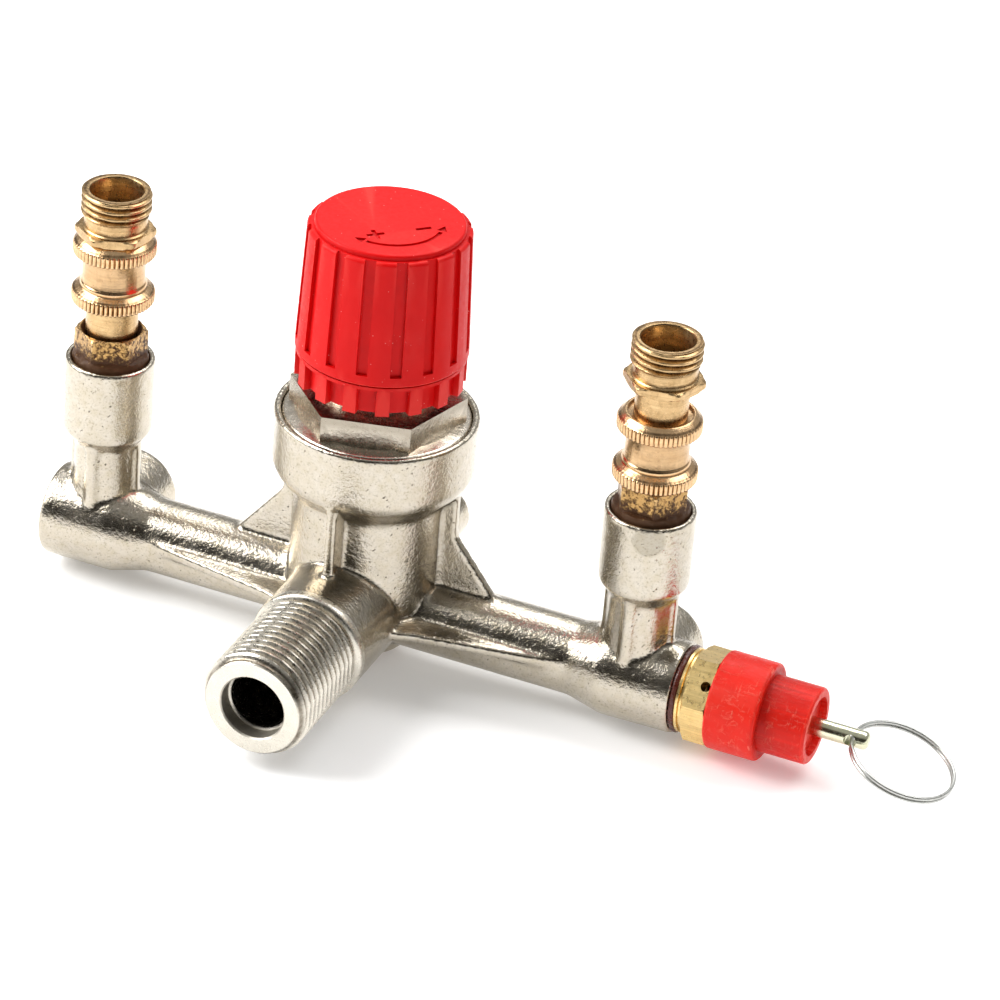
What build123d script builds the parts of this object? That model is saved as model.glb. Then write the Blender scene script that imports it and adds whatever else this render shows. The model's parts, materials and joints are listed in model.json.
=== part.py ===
from build123d import *
import math
import os

# Air manifold with a pressure regulator, two hand-slide valves and a relief valve.
# Millimetres. Origin: centre of the bottom plug's flat foot, on the knob axis.
# +Z runs up the knob axis, +X along the tube to the relief valve, -Y out of the inlet.

# ---------- driving dimensions ----------
TUBE_Z = 10.6          # height of the tube axis above the foot
TUBE_R = 7.2           # tube, between the body and the posts
TUBE_END_R = 9.1       # tube, where the posts stand
TUBE_LEFT_X = -64.3
TUBE_RIGHT_X = 64.5
TUBE_BORE_R = 5.0
POST_X = 54.6          # the two outlet posts stand at plus and minus this
STEM_R = 6.1
CUP_R = 8.5
CUP_TOP_Z = 46.5
CUP_LOW_Z = 31.6
RIB_T = 2.0            # thickness of every cast rib
GAUGE_Y = 14.5         # end of the gauge bosses behind the tube
GAUGE_R = 8.5

TAP_G14_R = 5.8        # bore of a tapped G1/4 port
G14_R = 6.58           # G1/4 male thread: crest, root, pitch
G14_ROOT_R = 5.72
G14_PITCH = 1.337
G12_R = 10.48          # G1/2 male thread: crest, root, pitch
G12_ROOT_R = 9.32
G12_PITCH = 1.814

INLET_Z = 13.1         # height of the inlet axis
INLET_Y = -49.1        # mouth of the inlet
INLET_ROOT_R = 11.1
INLET_BORE_R = 5.75

BODY_R = 14.5          # lower cylinder of the regulator body
BODY_LOW_Z = 2.6       # underside, where the bottom plug goes in
RING_R = 19.0          # upper ring that the bonnet screws into
RING_TOP_Z = 50.8
SHELF_Z = 42.0         # the diaphragm lies here
BONNET_THREAD_R = 16.6
FLANGE_R = 17.5
FLANGE_TOP_Z = 50.3
BONNET_HEX_AF = 28.6
BONNET_HEX_TOP_Z = 55.6
BONNET_HEX_TURN = 14.8
NECK_R = 11.2
NECK_TOP_Z = 79.5
PLUG_R = 7.5
FOOT_R = 5.0           # round foot of the bottom plug, which stands on the bench
CHAMBER_R = 6.3        # inlet chamber under the valve seat
SEAT_Z = 19.2          # lip of the valve seat

SCREW_R = 4.0
NUT_AF = 13.9
NUT_LOW_Z = 65.0
NUT_TOP_Z = 72.0

KNOB_LOW_Z = 58.1
KNOB_SEAM_Z = 64.0
KNOB_TOP_Z = 89.8
KNOB_R = 16.0
KNOB_TOP_R = 15.0
KNOB_SHOULDER_Z = 88.8
KNOB_DISC_R = 13.8
KNOB_TEETH = 16

SLIDE_TUBE_R = 4.9
SLIDE_BORE_R = 4.97
SLEEVE_LEN = 13.6
SLEEVE_LEFT_Z = 58.4   # open, against the upper hexagon
SLEEVE_RIGHT_Z = 52.9  # closed, at the bottom of its travel
SLIDE_HEX_LOW_Z = 52.4
SLIDE_HEX_Z = 72.1
SLIDE_HEX_TOP_Z = 73.9
SLIDE_HEX_AF = 13.4
OUTLET_TOP_Z = 81.3

RELIEF_HEX_X = 67.0
RELIEF_CAP_X = 71.7
RELIEF_SEAT_X = 66.0
STEM_END_X = 100.8
EYE_X = 97.6           # cross hole that the pull ring hangs in
RING_MEAN_R = 10.0
RING_WIRE = 0.75
RING_DROOP = 17.0      # the ring hangs this far below level
RING_SIDE_Y = 1.2

# Each direction's own cross direction, for planes and profiles.
CROSS = {
    "+X": ((1, 0, 0), (0, 1, 0)),
    "-X": ((-1, 0, 0), (0, 1, 0)),
    "+Y": ((0, 1, 0), (1, 0, 0)),
    "-Y": ((0, -1, 0), (1, 0, 0)),
    "+Z": ((0, 0, 1), (1, 0, 0)),
}

os.makedirs("parts", exist_ok=True)


def save(piece, name):
    """Label a finished piece and write its file."""
    piece.part.label = name
    export_step(piece.part, f"parts/{name}.step")


def turn(points, origin=(0, 0, 0), along="+Z", mode=Mode.ADD):
    """Revolve a profile of (radius, distance[, corner radius]) about an axis."""
    direction, radial = CROSS[along]
    normal = Vector(*radial).cross(Vector(*direction))
    plane = Plane(origin=origin, x_dir=radial, z_dir=normal)
    with BuildSketch(plane) as section:
        with BuildLine():
            Polyline(*[(p[0], p[1]) for p in points], close=True)
        make_face()
        for corner in [p for p in points if len(p) == 3]:
            near = section.vertices().sort_by_distance((corner[0], corner[1], 0))
            fillet(near[0], radius=corner[2])
    revolve(section.sketch, axis=Axis(origin, direction), mode=mode)


def rod(radius, start, end, origin=(0, 0, 0), along="+Z", mode=Mode.ADD):
    """A plain cylinder between two distances along an axis."""
    turn([(0, start), (radius, start), (radius, end), (0, end)], origin, along, mode)


def prism(flats, start, end, origin=(0, 0, 0), along="+Z", spin=0, mode=Mode.ADD):
    """A hexagonal bar, with a corner at the angle spin from the cross direction."""
    direction, radial = CROSS[along]
    base = Vector(*origin) + Vector(*direction) * start
    plane = Plane(origin=base, x_dir=radial, z_dir=direction)
    with BuildSketch(plane) as section:
        RegularPolygon(
            radius=flats / 2, side_count=6, major_radius=False, rotation=spin
        )
    extrude(section.sketch, amount=end - start, mode=mode)


def crown(flats, low, high, origin=(0, 0, 0), along="+Z"):
    """Turn a hexagon's corners down to a cone at both of its ends."""
    inner = flats / 2
    outer = inner / math.cos(math.pi / 6) + 1
    drop = (outer - inner) * math.tan(math.pi / 6)
    for end, way in ((high, 1), (low, -1)):
        cone = [(inner, end + way * 0.02), (outer, end + way * 0.02), (outer, end - way * drop)]
        turn(cone, origin, along, Mode.SUBTRACT)


def slab(outline, plane, thickness, mode=Mode.ADD):
    """A flat plate with a polygon outline, centred on its plane."""
    with BuildSketch(plane) as section:
        with BuildLine():
            Polyline(*outline, close=True)
        make_face()
    extrude(section.sketch, amount=thickness / 2, both=True, mode=mode)


def crests(major, root, pitch, start, turns):
    """Profile points of a row of thread crests with narrow flats."""
    land = pitch * 0.22
    points = []
    for i in range(turns):
        low = start + i * pitch
        points.append((major, low))
        points.append((major, low + land))
        if i < turns - 1:
            points.append((root, low + (pitch + land) / 2 - land / 4))
            points.append((root, low + (pitch + land) / 2 + land / 4))
    return points


def coil(name, wire_r, mean_r, low, high, turns, plane=Plane.XY):
    """An open coil spring between two planes, wound about a plane's normal."""
    height = high - low - 2 * wire_r
    origin = plane.origin + plane.z_dir * (low + wire_r)
    with BuildPart() as spring:
        with BuildLine() as path:
            Helix(
                pitch=height / turns,
                height=height,
                radius=mean_r,
                center=origin,
                direction=plane.z_dir,
            )
        with BuildSketch(Plane(origin=path.line @ 0, z_dir=path.line % 0)):
            Circle(wire_r)
        sweep(path=path.line, is_frenet=True)
    save(spring, name)


# ---------- manifold casting ----------
TUBE = (0, 0, TUBE_Z)
INLET = (0, 0, INLET_Z)
INLET_LEN = -INLET_Y
THREAD_START = 27.4
THREAD_TURNS = 12

with BuildPart() as casting:
    # regulator body and its upper ring
    turn(
        [
            (0, BODY_LOW_Z),
            (8.9, BODY_LOW_Z, 0.6),
            (8.9, 7.6, 1.0),
            (BODY_R, 11.0, 1.5),
            (BODY_R, 34.8, 2.0),
            (18.2, 38.4, 1.0),
            (RING_R, 40.2, 1.0),
            (RING_R, RING_TOP_Z, 0.5),
            (0, RING_TOP_Z),
        ]
    )
    # tube with thicker ends
    turn(
        [
            (0, TUBE_LEFT_X),
            (TUBE_END_R, TUBE_LEFT_X, 0.7),
            (TUBE_END_R, -50.5, 1.5),
            (TUBE_R, -43.5, 1.5),
            (TUBE_R, 43.5, 1.5),
            (TUBE_END_R - 0.2, 50.5, 1.5),
            (TUBE_END_R - 0.4, TUBE_RIGHT_X, 0.4),
            (0, TUBE_RIGHT_X),
        ],
        TUBE,
        "+X",
    )
    # front, side and tube ribs
    front_rib = [(-18.8, 14.0), (-18.8, 39.5), (0, 39.5), (0, 14.0)]
    slab(front_rib, Plane.YZ, RIB_T)
    for side in (1, -1):
        web = [(0, 10), (side * 27.5, 16.6), (side * 17.6, 29.0), (side * 17.6, 38.5)]
        slab(web + [(0, 38.5)], Plane.XZ, RIB_T)
        flange = [(0, 0), (0, -14), (side * 12.0, -13.2), (side * 15.0, -12.0)]
        flange += [(side * 44.5, -6.6), (side * 44.5, 0)]
        slab(flange, Plane.XY.offset(TUBE_Z + 1.5), RIB_T)
    # blank boss behind the body
    rod(5.5, 0, 14.8, (9.0, 0, 24.4), "+Y")
    # outlet posts with ribbed stems and cups, and a gauge boss behind each
    for x in (-POST_X, POST_X):
        foot = (x, 0, 0)
        turn(
            [
                (0, TUBE_Z),
                (STEM_R, TUBE_Z),
                (STEM_R, 28.6, 0.8),
                (CUP_R, CUP_LOW_Z, 0.8),
                (CUP_R, CUP_TOP_Z, 0.5),
                (0, CUP_TOP_Z),
            ],
            foot,
        )
        for plane in (Plane.XZ, Plane.YZ):
            across = 7.05
            stem_rib = [(-across, TUBE_Z), (across, TUBE_Z), (across, 31.2)]
            slab(
                stem_rib + [(-across, 31.2)],
                Plane(origin=foot, x_dir=plane.x_dir, z_dir=plane.z_dir),
                RIB_T,
            )
        turn(
            [(0, 0), (GAUGE_R, 0), (GAUGE_R, GAUGE_Y, 0.6), (0, GAUGE_Y)],
            (x, 0, TUBE_Z),
            "+Y",
        )
    # inlet spigot with its external thread
    last = THREAD_START + (THREAD_TURNS - 1) * G12_PITCH + G12_PITCH * 0.22
    turn(
        [(0, -9.5), (5.5, -9.5, 2.0), (INLET_ROOT_R, -3.0, 2.0)]
        + [(INLET_ROOT_R, 26.4), (G12_ROOT_R, 26.6)]
        + crests(G12_R, G12_ROOT_R, G12_PITCH, THREAD_START, THREAD_TURNS)
        + [(9.5, last + 1.0), (9.5, INLET_LEN), (0, INLET_LEN)],
        INLET,
        "-Y",
    )
    # moulding flats along the two sides of the inlet thread
    for side in (1, -1):
        with Locations((side * 11.2, -38.0, INLET_Z)):
            Box(2.0, 23.0, 24.0, mode=Mode.SUBTRACT)

    # ---- passages ----
    # plug hole, inlet chamber, seat, outlet cavity, diaphragm chamber, bonnet thread
    turn(
        [
            (0, -1),
            (PLUG_R, -1),
            (PLUG_R, 6.5),
            (CHAMBER_R, 6.5),
            (CHAMBER_R, 20.0),
            (4.95, 20.0),
            (4.95, 23.5),
            (5.5, 23.5),
            (5.5, 39.5),
            (13.0, 39.5),
            (13.0, SHELF_Z),
            (16.2, SHELF_Z),
            (16.2, 43.3),
            (BONNET_THREAD_R, 43.3),
            (BONNET_THREAD_R, 48.2),
            (FLANGE_R + 0.15, 48.2),
            (FLANGE_R + 0.15, RING_TOP_Z + 1),
            (0, RING_TOP_Z + 1),
        ],
        mode=Mode.SUBTRACT,
    )
    rod(INLET_BORE_R, 3, INLET_LEN + 1, INLET, "-Y", Mode.SUBTRACT)
    rod(6.2, INLET_LEN - 3.2, INLET_LEN + 1, INLET, "-Y", Mode.SUBTRACT)
    # tank side of the tube opens into the inlet chamber, the other side stays apart
    rod(TUBE_BORE_R, 5, 56.5, TUBE, "+X", Mode.SUBTRACT)
    rod(TAP_G14_R, 56.4, 66, TUBE, "+X", Mode.SUBTRACT)
    rod(TUBE_BORE_R, 10.6, 56, TUBE, "-X", Mode.SUBTRACT)
    rod(TAP_G14_R, 55.9, 66, TUBE, "-X", Mode.SUBTRACT)
    # regulated air comes down this passage into the left half of the tube
    rod(1.9, 12.0, 41.0, (-11.4, 0, 0), "+Z", Mode.SUBTRACT)
    for x in (-POST_X, POST_X):
        foot = (x, 0, 0)
        rod(3.2, TUBE_Z, 34, foot, "+Z", Mode.SUBTRACT)
        rod(5.9, 33.5, CUP_TOP_Z, foot, "+Z", Mode.SUBTRACT)
        rod(7.35, 44.7, CUP_TOP_Z + 1, foot, "+Z", Mode.SUBTRACT)
        rod(3.2, 0, 6, (x, 0, TUBE_Z), "+Y", Mode.SUBTRACT)
        rod(TAP_G14_R, 5.7, GAUGE_Y + 1, (x, 0, TUBE_Z), "+Y", Mode.SUBTRACT)
save(casting, "manifold_casting")


# ---------- bottom plug ----------
with BuildPart() as plug:
    turn(
        [
            (0, 0),
            (FOOT_R, 0, 0.4),
            (FOOT_R, 3.0),
            (PLUG_R - 0.05, 3.0, 0.3),
            (PLUG_R - 0.05, 5.2),
            (6.0, 5.2),
            (6.0, 7.2),
            (0, 7.2),
        ]
    )
    prism(5.0, 0, 3.9, mode=Mode.SUBTRACT)
    rod(2.15, 4.6, 8, mode=Mode.SUBTRACT)
save(plug, "bottom_plug")

with BuildPart() as plug_seal:
    turn([(6.05, 5.25, 0.3), (7.4, 5.25, 0.3), (7.4, 6.45, 0.3), (6.05, 6.45, 0.3)])
save(plug_seal, "bottom_plug_seal")


# ---------- valve seat, poppet and poppet spring ----------
with BuildPart() as seat:
    turn(
        [
            (3.0, SEAT_Z),
            (3.5, SEAT_Z),
            (4.1, 20.0),
            (4.95, 20.0),
            (4.95, 23.4),
            (3.0, 23.4),
        ]
    )
save(seat, "valve_seat")

DISC_TOP_Z = SEAT_Z - 0.02
DISC_LOW_Z = 17.2
PIN_TOP_Z = 40.6

with BuildPart() as poppet:
    turn(
        [
            (0, 5.8),
            (2.0, 5.8, 0.3),
            (2.0, 14.5),
            (5.0, 14.5),
            (5.0, DISC_LOW_Z),
            (1.4, DISC_LOW_Z),
            (1.4, PIN_TOP_Z, 0.3),
            (0, PIN_TOP_Z),
        ]
    )
save(poppet, "poppet")

with BuildPart() as disc:
    turn(
        [
            (1.45, DISC_LOW_Z),
            (4.6, DISC_LOW_Z),
            (4.6, DISC_TOP_Z, 0.3),
            (1.45, DISC_TOP_Z),
        ]
    )
save(disc, "poppet_disc")

coil("poppet_spring", 0.4, 3.5, 7.2, 14.5, 5)


# ---------- diaphragm and its plates ----------
DIAPHRAGM_TOP_Z = 43.2
with BuildPart() as diaphragm:
    turn([(2.6, SHELF_Z), (16.0, SHELF_Z), (16.0, DIAPHRAGM_TOP_Z), (2.6, DIAPHRAGM_TOP_Z)])
save(diaphragm, "diaphragm")

with BuildPart() as lower_plate:
    turn(
        [
            (0, PIN_TOP_Z),
            (9.0, PIN_TOP_Z, 0.4),
            (9.0, SHELF_Z),
            (2.5, SHELF_Z),
            (2.5, 44.8),
            (3.2, 44.8),
            (3.2, 45.7, 0.4),
            (0, 45.7),
        ]
    )
save(lower_plate, "diaphragm_rivet")

with BuildPart() as upper_plate:
    turn(
        [
            (2.55, DIAPHRAGM_TOP_Z),
            (11.0, DIAPHRAGM_TOP_Z),
            (11.0, 45.4),
            (10.2, 45.4),
            (9.6, 44.8),
            (2.55, 44.8),
        ]
    )
save(upper_plate, "spring_plate")

coil("range_spring", 0.95, 6.1, 44.8, NUT_LOW_Z, 5)


# ---------- bonnet ----------
with BuildPart() as bonnet:
    turn(
        [
            (0, DIAPHRAGM_TOP_Z),
            (16.0, DIAPHRAGM_TOP_Z),
            (BONNET_THREAD_R - 0.05, 43.8),
            (BONNET_THREAD_R - 0.05, 48.25),
            (FLANGE_R, 48.25),
            (FLANGE_R, FLANGE_TOP_Z, 0.7),
            (15.2, FLANGE_TOP_Z + 0.5),
            (NECK_R, FLANGE_TOP_Z + 0.5),
            (NECK_R, 61.1),
            (10.6, 61.1),
            (10.6, 63.1),
            (NECK_R, 63.1),
            (NECK_R, NECK_TOP_Z, 0.8),
            (0, NECK_TOP_Z),
        ]
    )
    prism(
        BONNET_HEX_AF,
        FLANGE_TOP_Z,
        BONNET_HEX_TOP_Z,
        spin=BONNET_HEX_TURN,
    )
    turn(
        [
            (0, DIAPHRAGM_TOP_Z - 1),
            (13.4, DIAPHRAGM_TOP_Z - 1),
            (13.4, 46.6),
            (8.3, 49.5),
            (8.3, 60.5),
            (0, 60.5),
        ],
        mode=Mode.SUBTRACT,
    )
    prism(14.4, 60, 77, mode=Mode.SUBTRACT)
    rod(SCREW_R + 0.1, 76, NECK_TOP_Z + 1, mode=Mode.SUBTRACT)
    # breather hole under the knob
    rod(1.0, 0, 14, (0, 0, 58.6), "+Y", Mode.SUBTRACT)
save(bonnet, "bonnet")

with BuildPart() as friction_ring:
    with BuildSketch(Plane.XZ) as ring_section:
        with Locations((11.62, 62.1)):
            Circle(0.95)
    revolve(axis=Axis.Z)
save(friction_ring, "knob_friction_ring")


# ---------- adjusting screw, washer, nut ----------
SCREW_PITCH = 1.25
with BuildPart() as screw:
    turn(
        [(0, 56.0), (3.3, 56.0)]
        + crests(SCREW_R, SCREW_R - 0.68, SCREW_PITCH, 56.6, 13)
        + [
            (SCREW_R - 0.7, 72.6),
            (SCREW_R - 0.7, 74.0),
            (5.8, 74.0),
            (5.8, 76.0),
            (SCREW_R, 76.0),
            (SCREW_R, 80.2),
            (0, 80.2),
        ]
    )
    prism(6.9, 80.2, 85.5)
save(screw, "adjusting_screw")

with BuildPart() as washer:
    turn([(SCREW_R + 0.15, 76.05), (6.0, 76.05), (6.0, 76.95), (SCREW_R + 0.15, 76.95)])
save(washer, "thrust_washer")

with BuildPart() as nut:
    prism(NUT_AF, NUT_LOW_Z, NUT_TOP_Z)
    rod(SCREW_R + 0.05, NUT_LOW_Z - 1, NUT_TOP_Z + 1, mode=Mode.SUBTRACT)
    rod(5.0, NUT_LOW_Z - 1, NUT_LOW_Z + 0.6, mode=Mode.SUBTRACT)
save(nut, "spring_nut")


# ---------- knob ----------
WALL_R = 14.5          # plain wall behind the castle teeth
TOOTH_R = 15.7
TOOTH_W = 2.5
TOOTH_TOP_Z = 63.2
FLUTE_W = 2.1
FLUTE_DEPTH = 0.75
FLUTE_LOW_Z = 66.1
TOOTH_PHASE = 3.1      # the castle teeth and the flutes are not in line
FLUTE_PHASE = 10.2
MARK_DEPTH = 0.35
MARK_W = 0.8
MARK_R = 9.6           # radius of the turning arrow
MARK_SIDE = 4.6        # plus and minus stand this far left and right
MARK_TURN = 45.0

with BuildPart() as knob:
    turn(
        [
            (0, KNOB_LOW_Z + 0.15),
            (WALL_R, KNOB_LOW_Z + 0.15),
            (WALL_R, TOOTH_TOP_Z),
            (TOOTH_R, TOOTH_TOP_Z),
            (TOOTH_R, KNOB_SEAM_Z - 0.15),
            (TOOTH_R - 0.6, KNOB_SEAM_Z - 0.15),
            (TOOTH_R - 0.6, KNOB_SEAM_Z + 0.15),
            (KNOB_R, KNOB_SEAM_Z + 0.15, 0.3),
            (KNOB_TOP_R, KNOB_SHOULDER_Z, 0.7),
            (KNOB_DISC_R, KNOB_SHOULDER_Z),
            (KNOB_DISC_R - 0.1, KNOB_TOP_Z, 0.5),
            (0, KNOB_TOP_Z),
        ]
    )
    with BuildSketch(Plane.XY.offset(KNOB_LOW_Z)) as teeth:
        with PolarLocations(WALL_R + 0.1, KNOB_TEETH, start_angle=TOOTH_PHASE):
            Rectangle(2 * (TOOTH_R - WALL_R) - 0.2, TOOTH_W)
    extrude(amount=TOOTH_TOP_Z - KNOB_LOW_Z + 0.1)
    # grip flutes that follow the tapered side
    lean = math.degrees(math.atan2(KNOB_R - KNOB_TOP_R, KNOB_SHOULDER_Z - KNOB_SEAM_Z))
    low_r = KNOB_R - (FLUTE_LOW_Z - KNOB_SEAM_Z) * math.tan(math.radians(lean))
    with PolarLocations(low_r, KNOB_TEETH, start_angle=FLUTE_PHASE):
        with Locations(Location((0, 0, FLUTE_LOW_Z), (0, -lean, 0))):
            Box(
                2 * FLUTE_DEPTH,
                FLUTE_W,
                KNOB_TOP_Z,
                align=(Align.CENTER, Align.CENTER, Align.MIN),
                mode=Mode.SUBTRACT,
            )
    # hollow for the bonnet neck, and the hexagonal socket for the screw
    turn(
        [(0, 57), (12.7, 57), (12.7, 81.4), (11.7, 82.4), (0, 82.4)],
        mode=Mode.SUBTRACT,
    )
    prism(7.05, 81, 87.8, mode=Mode.SUBTRACT)
    # plus, minus and a turning arrow sunk into the top
    mark_plane = Plane(origin=(0, 0, KNOB_TOP_Z - MARK_DEPTH)).rotated((0, 0, MARK_TURN))
    with BuildSketch(mark_plane) as marks:
        with Locations((-MARK_SIDE, -4.4)):
            Rectangle(3.4, MARK_W)
            Rectangle(MARK_W, 3.4)
        with Locations((MARK_SIDE, -4.4)):
            Rectangle(3.0, MARK_W)
        with BuildLine():
            outer = CenterArc((0, 0), MARK_R + MARK_W / 2, -138, 96)
            inner = CenterArc((0, 0), MARK_R - MARK_W / 2, -138, 96)
            Line(outer @ 0, inner @ 0)
            Line(outer @ 1, inner @ 1)
        make_face()
        for end, way in ((-141.0, -1), (-39.0, 1)):
            with PolarLocations(MARK_R, 1, start_angle=end):
                Polygon((-1.0, 0), (1.0, 0), (0, way * 2.0), align=None)
    extrude(amount=1, mode=Mode.SUBTRACT)
save(knob, "knob")


# ---------- hand-slide valves ----------
PORT_LOW_Z = 61.9
PORT_HIGH_Z = 66.9


def slide_base(name, x, spin):
    """Lower hexagonal adaptor, screwed into a post."""
    at = (x, 0, 0)
    with BuildPart() as base:
        rod(5.85, 36.0, 45.0, at)
        prism(12.0, 44.8, SLIDE_HEX_LOW_Z, at, spin=spin)
        crown(12.0, 44.8, SLIDE_HEX_LOW_Z, at)
        rod(3.0, 35, 53, at, mode=Mode.SUBTRACT)
        rod(4.6, 46.0, 53, at, mode=Mode.SUBTRACT)
    save(base, name)


def slide_tube(name, x, spin):
    """Inner tube with the upper hexagon, the outlet thread and the air ports."""
    at = (x, 0, 0)
    with BuildPart() as tube:
        turn(
            [
                (0, 46.2),
                (4.55, 46.2, 0.3),
                (4.55, SLIDE_HEX_LOW_Z),
                (SLIDE_TUBE_R, SLIDE_HEX_LOW_Z),
                (SLIDE_TUBE_R, SLIDE_HEX_TOP_Z - 0.1),
                (G14_ROOT_R + 0.1, SLIDE_HEX_TOP_Z - 0.1),
                (G14_ROOT_R + 0.1, 76.4),
            ]
            + crests(G14_R, G14_ROOT_R, G14_PITCH, 76.95, 4)
            + [(G14_R - 0.15, OUTLET_TOP_Z), (0, OUTLET_TOP_Z)],
            at,
        )
        prism(SLIDE_HEX_AF, SLIDE_HEX_Z, SLIDE_HEX_TOP_Z, at, spin=spin)
        crown(SLIDE_HEX_AF, SLIDE_HEX_Z, SLIDE_HEX_TOP_Z, at)
        rod(3.0, 45, 63.6, at, mode=Mode.SUBTRACT)
        rod(3.0, 65.2, 82, at, mode=Mode.SUBTRACT)
        turn(
            [(0, 74.6), (3.0, 74.6), (4.95, 75.7), (4.95, 81.0), (5.5, 81.6), (0, 81.6)],
            at,
            mode=Mode.SUBTRACT,
        )
        for z in (PORT_LOW_Z, PORT_HIGH_Z):
            for along in ("+X", "-X", "+Y", "-Y"):
                rod(1.2, 2, 6, (x, 0, z), along, Mode.SUBTRACT)
    save(tube, name)


def sleeve(name, x, low):
    """Sliding sleeve with two knurled collars and two ring grooves in its bore."""
    at = (x, 0, low)
    with BuildPart() as slide:
        turn(
            [
                (0, 0),
                (7.4, 0),
                (7.8, 0.35),
                (7.8, 2.4),
                (6.5, 3.1),
                (6.25, 3.3),
                (6.25, 4.2, 0.25),
                (5.9, 4.4),
                (5.9, 9.6),
                (6.3, 10.05),
                (7.8, 10.05),
                (7.8, 12.4),
                (6.35, SLEEVE_LEN, 0.15),
                (0, SLEEVE_LEN),
            ],
            at,
        )
        rod(SLIDE_BORE_R, -1, SLEEVE_LEN + 1, at, mode=Mode.SUBTRACT)
        rod(5.3, 2.6, 9.9, at, mode=Mode.SUBTRACT)
        rod(5.95, 12.7, SLEEVE_LEN + 1, at, mode=Mode.SUBTRACT)
        for groove in (0.6, 10.5):
            rod(6.2, groove, groove + 1.5, at, mode=Mode.SUBTRACT)
    save(slide, name)
    with BuildPart() as rings:
        for groove in (0.6, 10.5):
            middle = low + groove + 0.75
            with BuildSketch(Plane.XZ) as loop:
                with Locations((x + 5.55, middle)):
                    Circle(0.6)
            revolve(axis=Axis((x, 0, 0), (0, 0, 1)))
    save(rings, name + "_orings")


slide_base("left_valve_base", -POST_X, 25)
slide_tube("left_valve_tube", -POST_X, 23)
sleeve("left_sleeve", -POST_X, SLEEVE_LEFT_Z)
slide_base("right_valve_base", POST_X, 55)
slide_tube("right_valve_tube", POST_X, 11)
sleeve("right_sleeve", POST_X, SLEEVE_RIGHT_Z)


# ---------- relief valve ----------
with BuildPart() as gasket:
    turn(
        [(6.0, 64.5), (8.4, 64.5, 0.4), (8.4, 66.3, 0.4), (6.0, 66.3)],
        TUBE,
        "+X",
    )
save(gasket, "relief_gasket")

with BuildPart() as relief_body:
    turn(
        [
            (0, 57.0),
            (TAP_G14_R - 0.05, 57.0, 0.4),
            (TAP_G14_R - 0.05, 66.3),
            (7.6, 66.3),
            (7.6, RELIEF_HEX_X + 0.1),
            (6.4, RELIEF_HEX_X + 0.1),
            (6.4, 84.0, 0.4),
            (0, 84.0),
        ],
        TUBE,
        "+X",
    )
    prism(16.0, RELIEF_HEX_X, 71.6, TUBE, "+X", spin=47)
    turn(
        [(8.4, 66.99), (10, 66.99), (10, 67.9)],
        TUBE,
        "+X",
        Mode.SUBTRACT,
    )
    rod(2.8, 56, 67, TUBE, "+X", Mode.SUBTRACT)
    turn(
        [(0, 66.5), (4.8, 66.5), (4.8, 85), (0, 85)],
        TUBE,
        "+X",
        Mode.SUBTRACT,
    )
    # two vent holes through opposite facets of the hexagon
    for angle in (137.0, 317.0):
        a = math.radians(angle)
        vent = Plane(
            origin=(70.6, 0, TUBE_Z),
            x_dir=(1, 0, 0),
            z_dir=(0, math.cos(a), math.sin(a)),
        )
        with BuildSketch(vent.offset(3)) as hole:
            Circle(0.95)
        extrude(amount=8, mode=Mode.SUBTRACT)
save(relief_body, "relief_body")

with BuildPart() as relief_disc:
    rod(4.2, 66.52, 67.4, TUBE, "+X")
save(relief_disc, "relief_disc")

with BuildPart() as relief_poppet:
    turn(
        [(0, 67.4), (4.5, 67.4), (4.5, 68.8), (2.6, 68.8), (2.6, 72.4), (0, 72.4)],
        TUBE,
        "+X",
    )
    rod(1.8, 69.4, 74, TUBE, "+X", Mode.SUBTRACT)
save(relief_poppet, "relief_poppet")

with BuildPart() as relief_stem:
    turn(
        [(0, 69.5), (1.75, 69.5), (1.75, STEM_END_X, 1.0), (0, STEM_END_X)],
        TUBE,
        "+X",
    )
    rod(1.2, -3, 3, (EYE_X, 0, TUBE_Z), "+Y", Mode.SUBTRACT)
save(relief_stem, "relief_stem")

with BuildPart() as cap:
    turn(
        [
            (0, RELIEF_CAP_X),
            (9.3, RELIEF_CAP_X, 0.5),
            (9.3, 81.4, 0.7),
            (7.3, 81.4),
            (7.3, 90.6, 0.6),
            (0, 90.6),
        ],
        TUBE,
        "+X",
    )
    rod(6.45, RELIEF_CAP_X - 1, 84.3, TUBE, "+X", Mode.SUBTRACT)
    rod(4.9, 84, 86.2, TUBE, "+X", Mode.SUBTRACT)
    rod(5.6, 89.2, 91.5, TUBE, "+X", Mode.SUBTRACT)
    rod(1.83, 85, 92, TUBE, "+X", Mode.SUBTRACT)
save(cap, "relief_cap")

coil("relief_spring", 0.5, 3.5, 68.8, 86.2, 8, Plane(origin=TUBE, x_dir=(0, 1, 0), z_dir=(1, 0, 0)))


# ---------- pull ring ----------
droop = math.radians(RING_DROOP)
ring_centre = (
    EYE_X + RING_MEAN_R * math.cos(droop),
    RING_SIDE_Y,
    TUBE_Z - RING_MEAN_R * math.sin(droop),
)
ring_plane = Plane(
    origin=ring_centre,
    x_dir=(math.cos(droop), 0, -math.sin(droop)),
    z_dir=(math.sin(droop), 0, math.cos(droop)),
)
ring_axis = Axis(ring_centre, (math.sin(droop), 0, math.cos(droop)))
with BuildPart() as pull_ring:
    radial = Plane(
        origin=ring_centre,
        x_dir=ring_plane.x_dir,
        z_dir=ring_plane.y_dir,
    )
    with BuildSketch(radial) as wire:
        with Locations((RING_MEAN_R, 0)):
            SlotCenterToCenter(RING_WIRE, RING_WIRE, rotation=90)
    revolve(axis=ring_axis)
save(pull_ring, "pull_ring")
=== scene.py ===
import json
import math

import bmesh
import bpy
import numpy as np
from mathutils import Matrix, Vector, noise


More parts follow.
